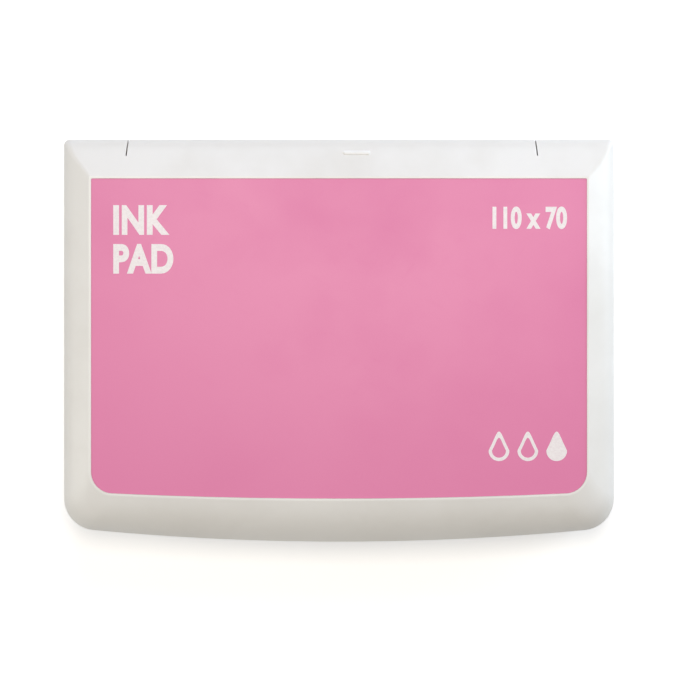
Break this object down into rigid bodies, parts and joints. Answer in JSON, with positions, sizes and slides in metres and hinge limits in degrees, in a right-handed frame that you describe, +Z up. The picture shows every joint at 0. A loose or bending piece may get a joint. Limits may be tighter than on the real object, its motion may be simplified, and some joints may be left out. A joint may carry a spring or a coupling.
{
  "type": "ink pad",
  "caption": "Flat stamp ink pad in a hinged white plastic case: a bow-fronted lid with a coloured label snaps shut over a framed, cloth-covered felt pad in the tray.",
  "frame": {"origin": "centre of the closed case's box, on the plane of its underside", "axes": "+X to the right along the hinge edge, +Y from the bowed front edge towards the hinge edge, +Z up out of the closed lid"},
  "size_m": [0.1234, 0.0904, 0.018],
  "materials": {
    "case_plastic": "moulded white polystyrene, low gloss",
    "label_film": "pink printed film, satin",
    "sticker_paper": "blank coated paper sticker",
    "cassette_plastic": "fine-textured off-white plastic",
    "felt": "ink-soaked pressed felt",
    "foam": "ink-soaked open-cell foam",
    "pad_cloth": "fine plain weave, damp with ink"
  },
  "bodies": {
    "tray": {"base_tray": "case_plastic", "info_label": "sticker_paper", "pad_carrier": "cassette_plastic", "ink_felt": "felt", "pad_foam": "foam", "pad_cloth": "pad_cloth", "pad_frame": "cassette_plastic"},
    "lid": {"lid_shell": "case_plastic", "lid_label": "label_film"}
  },
  "joints": [
    {"name": "lid_hinge", "type": "hinge", "parent": "tray", "child": "lid", "pos_m": [0, 0.04275, 0.0084], "axis": [-1, 0, 0], "range_deg": [0, 110]}
  ]
}
